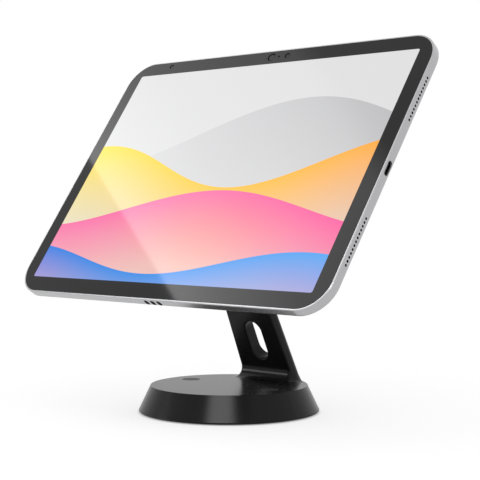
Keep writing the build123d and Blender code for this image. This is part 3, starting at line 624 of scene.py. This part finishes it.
# %% Sizes of the display
display_width = 227.1 * mm
display_height = 157.8 * mm
display_corner = 1.4 * mm
edge_blur = 0.12 * mm
print("display", round(display_width / mm, 1), "by", round(display_height / mm, 1), "mm")


# %% Screen coordinates
def screen_place(tree, place):
    """Object coordinates turned so that X runs across the screen and Y up it, from its middle."""
    turned = add_node(tree, "ShaderNodeMapping", vector_type="TEXTURE")
    turned.inputs["Location"].default_value = glass_face
    turned.inputs["Rotation"].default_value = (screen_tilt, 0, 0)
    tree.links.new(place, turned.inputs["Vector"])
    parts = add_node(tree, "ShaderNodeSeparateXYZ")
    tree.links.new(turned.outputs["Vector"], parts.inputs["Vector"])
    return parts.outputs["X"], parts.outputs["Y"]


def rounded_rectangle(tree, across, up, width, height, corner):
    """1 inside a rectangle with rounded corners, and 0 outside it."""
    squares = []
    for value, size in ((across, width), (up, height)):
        past = maths(tree, "SUBTRACT", maths(tree, "ABSOLUTE", value), size / 2 - corner)
        beyond = maths(tree, "MAXIMUM", past, 0.0)
        squares.append(maths(tree, "MULTIPLY", beyond, beyond))
    distance = maths(tree, "SQRT", maths(tree, "ADD", *squares))
    return spread(tree, distance, 1.0, 0.0, corner - edge_blur, corner)


# %% Waves of the picture
ground_low = (0.74, 0.74, 0.75)
ground_high = (0.72, 0.72, 0.72)
wave_strength_below = 0.3
waves = (
    # crest height, swing, wavelength, shift, fade, left colour, right colour
    (26 * mm, 24 * mm, 330 * mm, 30 * mm, 85 * mm, (0.74, 0.74, 0.75), (0.50, 0.50, 0.51)),
    (4 * mm, 17 * mm, 250 * mm, -80 * mm, 60 * mm, (0.98, 0.74, 0.01), (0.98, 0.40, 0.03)),
    (-28 * mm, 13 * mm, 290 * mm, 60 * mm, 52 * mm, (0.93, 0.17, 0.40), (0.93, 0.09, 0.34)),
    (-64 * mm, 9 * mm, 230 * mm, -40 * mm, 40 * mm, (0.01, 0.20, 0.74), (0.05, 0.36, 0.86)),
)


def wave_picture(tree, across, up):
    """Waves one in front of the other, each strong at its crest and fading below it."""
    rise = spread(tree, up, 0.0, 1.0, -display_height / 2, display_height / 2)
    side = spread(tree, across, 0.0, 1.0, -display_width / 2, display_width / 2)
    picture = blend_colours(tree, rise, ground_low, ground_high)
    for crest, swing, length, shift, fade, left, right in waves:
        angle = maths(tree, "MULTIPLY", maths(tree, "ADD", across, shift), 2 * math.pi / length)
        height = maths(tree, "ADD", maths(tree, "MULTIPLY", maths(tree, "SINE", angle), swing), crest)
        below = maths(tree, "SUBTRACT", height, up)
        edge = spread(tree, below, 0.0, 1.0, 0.0, edge_blur)
        strength = spread(tree, below, 1.0, wave_strength_below, 0.0, fade)
        colour = blend_colours(tree, side, left, right)
        picture = blend_colours(tree, maths(tree, "MULTIPLY", edge, strength), picture, colour)
    return picture


print("waves in the picture:", len(waves))

# %% Screen glass
ink_black = (0.0, 0.0, 0.0)
glass_roughness = 0.04
glass_specular = 0.23


def screen_glass():
    finish, tree, shader, place = new_finish(
        "screen_glass", (0.004, 0.004, 0.004), roughness=glass_roughness, specular=glass_specular
    )
    across, up = screen_place(tree, place)
    lit = rounded_rectangle(tree, across, up, display_width, display_height, display_corner)
    shown = blend_colours(tree, lit, ink_black, wave_picture(tree, across, up))
    tree.links.new(shown, shader.inputs["Emission Color"])
    shader.inputs["Emission Strength"].default_value = 1.0
    return finish


dress(screen_glass(), "cover_glass")

# %% [markdown]
# Windows and marks on the glass
#
# A front camera and a sensor look out through round windows in the black margin, with a smaller light
# sensor between them, and there is one more window near the left end. What the eye catches is the shade
# of the step at each window's rim, thickest on one side. It is painted: a black disc with a slightly
# smaller, shifted disc of glass on it gives that dark crescent. The light sensor is a plain black disc of
# its own.

# %% Thin discs on the glass
disc_thickness = 0.02 * mm
disc_sides = 48


def add_disc(build, radius, across, up, lift=0.0):
    """A thin round plate on the glass, placed in the screen's directions from its middle."""
    made = bmesh.ops.create_cone(
        build, cap_ends=True, segments=disc_sides, radius1=radius, radius2=radius, depth=disc_thickness
    )
    bmesh.ops.rotate(build, verts=made["verts"], matrix=Matrix.Rotation(screen_tilt, 3, "X"))
    out = out_of_screen * (lift + disc_thickness / 2)
    place = glass_face + Vector((across, 0, 0)) + up_screen * up + out
    bmesh.ops.translate(build, verts=made["verts"], vec=place)


def add_piece(name, build, finish, body):
    """Turns a bmesh into a finished piece that rides on a body."""
    mesh = bpy.data.meshes.new(name)
    build.to_mesh(mesh)
    build.free()
    mesh.materials.append(finish)
    piece = bpy.data.objects.new(name, mesh)
    scene.collection.objects.link(piece)
    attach(piece, body)
    print(name, "has", len(mesh.polygons), "faces")


# %% Windows of the camera and sensors
windows = (
    # across, up, radius of the black disc that paints the rim's shade, radius of the glass disc
    (0.4 * mm, 84.2 * mm, 2.8 * mm, 2.15 * mm),
    (13.2 * mm, 84.2 * mm, 1.8 * mm, 1.15 * mm),
    (-88.6 * mm, 85.0 * mm, 1.6 * mm, 1.0 * mm),
)
light_sensor_across = 6.6 * mm
light_sensor_up = 84.1 * mm
light_sensor_radius = 0.7 * mm
# The glass discs sit off centre on the black ones, so the painted rim shade is thickest on one side.
pane_shift_across = 0.50 * mm
pane_shift_up = -0.38 * mm

rim_shadow_and_sensor_discs = bmesh.new()
panes = bmesh.new()
for across, up, outer, inner in windows:
    add_disc(rim_shadow_and_sensor_discs, outer, across, up)
    add_disc(panes, inner, across + pane_shift_across, up + pane_shift_up, lift=disc_thickness)
add_disc(rim_shadow_and_sensor_discs, light_sensor_radius, light_sensor_across, light_sensor_up)

# Dull black that paints the shade at each window's rim, and the light sensor's own dark dot.
rim_shadow_and_sensor_ink = dark_module("rim_shadow_and_sensor_ink", (0.004, 0.004, 0.004), 0.7, 0.03)
window_glass = coated_glass(
    "window_glass", (0.004, 0.004, 0.005), (0.005, 0.004, 0.008), 2 * mm, glass_roughness, glass_specular
)
add_piece("window_rim_shadows_and_sensor_dot", rim_shadow_and_sensor_discs, rim_shadow_and_sensor_ink, "tablet")
add_piece("window_panes", panes, window_glass, "tablet")

# %% [markdown]
# Faces of the accessory contacts
#
# Three oval contacts sit flush in the lower edge, each with a printed black border. The border is too
# thin to model in the housing, so one thin black plate covers each contact and its border. Each plate
# starts as a flat box whose upright corners are bevelled by almost half its width, which rounds its ends.

# %% Faces of the contacts
contact_low, contact_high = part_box("accessory_contacts")
contact_middle = (contact_low + contact_high) / 2
contact_pitch = 5.1 * mm
border_width = 3.0 * mm
border_length = 4.3 * mm
almost_half = 0.499  # a whole half would leave edges with no length
corner_steps = 12
to_edge = reach("rear_housing", contact_middle, -up_screen)

faces = bmesh.new()
for index in (-1, 0, 1):
    plate = bmesh.new()
    bmesh.ops.create_cube(plate, size=1)
    bmesh.ops.scale(plate, verts=plate.verts, vec=(border_width, border_length, disc_thickness))
    corners = [
        edge for edge in plate.edges if abs(edge.verts[0].co.z - edge.verts[1].co.z) > disc_thickness / 2
    ]
    bmesh.ops.bevel(
        plate,
        geom=corners,
        affect="EDGES",
        offset=almost_half * border_width,
        segments=corner_steps,
        profile=0.5,
        material=-1,
    )
    down = up_screen * (to_edge + disc_thickness / 2)
    place = contact_middle + Vector((index * contact_pitch, 0, 0)) - down
    turned = Matrix.Translation(place) @ Matrix.Rotation(screen_tilt - math.pi / 2, 4, "X")
    bmesh.ops.transform(plate, matrix=turned, verts=plate.verts)
    oval = bpy.data.meshes.new("oval")
    plate.to_mesh(oval)
    plate.free()
    faces.from_mesh(oval)
    bpy.data.meshes.remove(oval)

contact_ink = dark_module("contact_ink", (0.004, 0.004, 0.004), 0.7, 0.03)
add_piece("contact_faces", faces, contact_ink, "tablet")

# %% [markdown]
# How far the box moved
#
# The dressed model should keep the imported one's size, so the largest shift between the corners of its
# box and the imported box is printed.

# %% Finish
visual_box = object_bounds()
moved = max((visual - cad).length for visual, cad in zip(visual_box, cad_box))
print("corners of the box moved by at most", round(moved / mm, 3), "mm")
